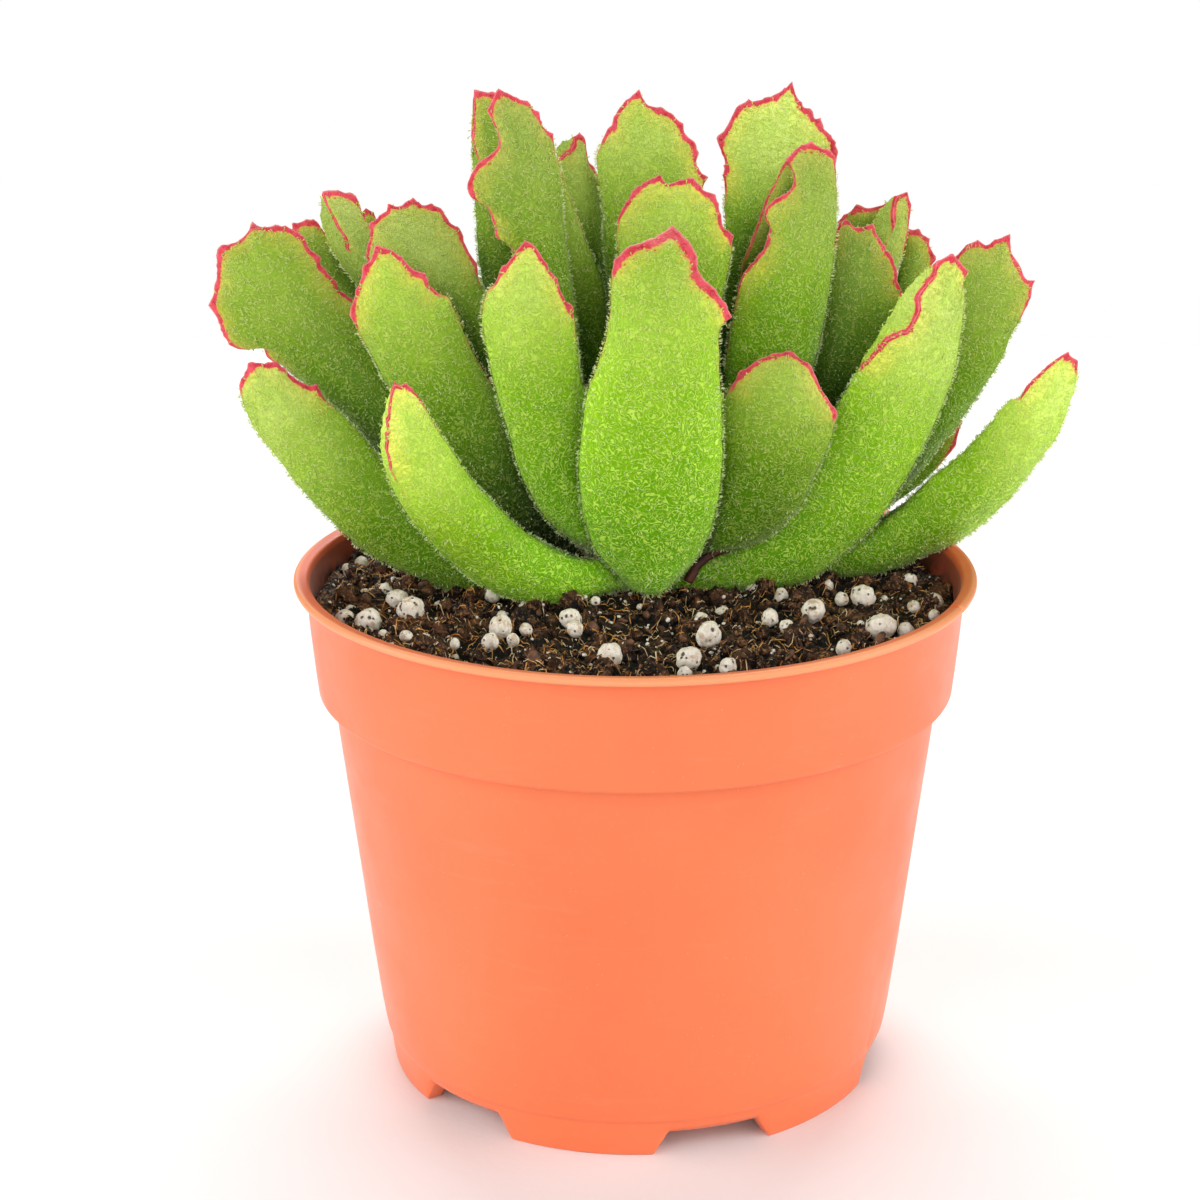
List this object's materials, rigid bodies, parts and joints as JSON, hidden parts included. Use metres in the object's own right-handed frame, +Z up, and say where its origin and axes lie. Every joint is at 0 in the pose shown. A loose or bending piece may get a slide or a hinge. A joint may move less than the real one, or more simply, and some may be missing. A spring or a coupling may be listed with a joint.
{
  "type": "potted succulent plant",
  "caption": "Fuzzy succulent with thick toothed, red-edged leaves in clustered rosettes, growing in a round footed nursery pot filled with perlite-flecked potting mix.",
  "frame": {"origin": "centre of the pot's footprint on the standing surface", "axes": "+Z up along the pot's axis, -Y towards the front where the large upright leaf stands, +X to its right as seen from the front"},
  "size_m": [0.1331, 0.105, 0.1529],
  "materials": {
    "pot_plastic": "satin",
    "leaf_skin": "matte",
    "stem_skin": "matte",
    "dry_stalk": "matte",
    "potting_mix": "matte",
    "perlite": "matte"
  },
  "bodies": {
    "root": {"pot": "pot_plastic", "leaf_01": "leaf_skin", "leaf_02": "leaf_skin", "leaf_03": "leaf_skin", "leaf_04": "leaf_skin", "leaf_05": "leaf_skin", "leaf_06": "leaf_skin", "leaf_07": "leaf_skin", "leaf_08": "leaf_skin", "leaf_09": "leaf_skin", "leaf_10": "leaf_skin", "leaf_11": "leaf_skin", "leaf_12": "leaf_skin", "leaf_13": "leaf_skin", "leaf_14": "leaf_skin", "leaf_15": "leaf_skin", "leaf_16": "leaf_skin", "leaf_17": "leaf_skin", "leaf_18": "leaf_skin", "leaf_19": "leaf_skin", "leaf_20": "leaf_skin", "leaf_21": "leaf_skin", "leaf_22": "leaf_skin", "leaf_23": "leaf_skin", "leaf_24": "leaf_skin", "leaf_25": "leaf_skin", "leaf_26": "leaf_skin", "leaf_27": "leaf_skin", "leaf_28": "leaf_skin", "leaf_29": "leaf_skin", "leaf_30": "leaf_skin", "leaf_31": "leaf_skin", "leaf_32": "leaf_skin", "leaf_33": "leaf_skin", "leaf_34": "leaf_skin", "leaf_35": "leaf_skin", "leaf_36": "leaf_skin", "leaf_37": "leaf_skin", "leaf_38": "leaf_skin", "leaf_39": "leaf_skin", "leaf_40": "leaf_skin", "stem_centre": "stem_skin", "stem_left": "stem_skin", "stem_right": "stem_skin", "dry_leaf_stalk": "dry_stalk", "perlite_01": "perlite", "perlite_02": "perlite", "perlite_03": "perlite", "perlite_04": "perlite", "perlite_05": "perlite", "perlite_06": "perlite", "perlite_07": "perlite", "perlite_08": "perlite", "perlite_09": "perlite", "perlite_10": "perlite", "perlite_11": "perlite", "perlite_12": "perlite", "potting_mix": "potting_mix"}
  },
  "joints": []
}
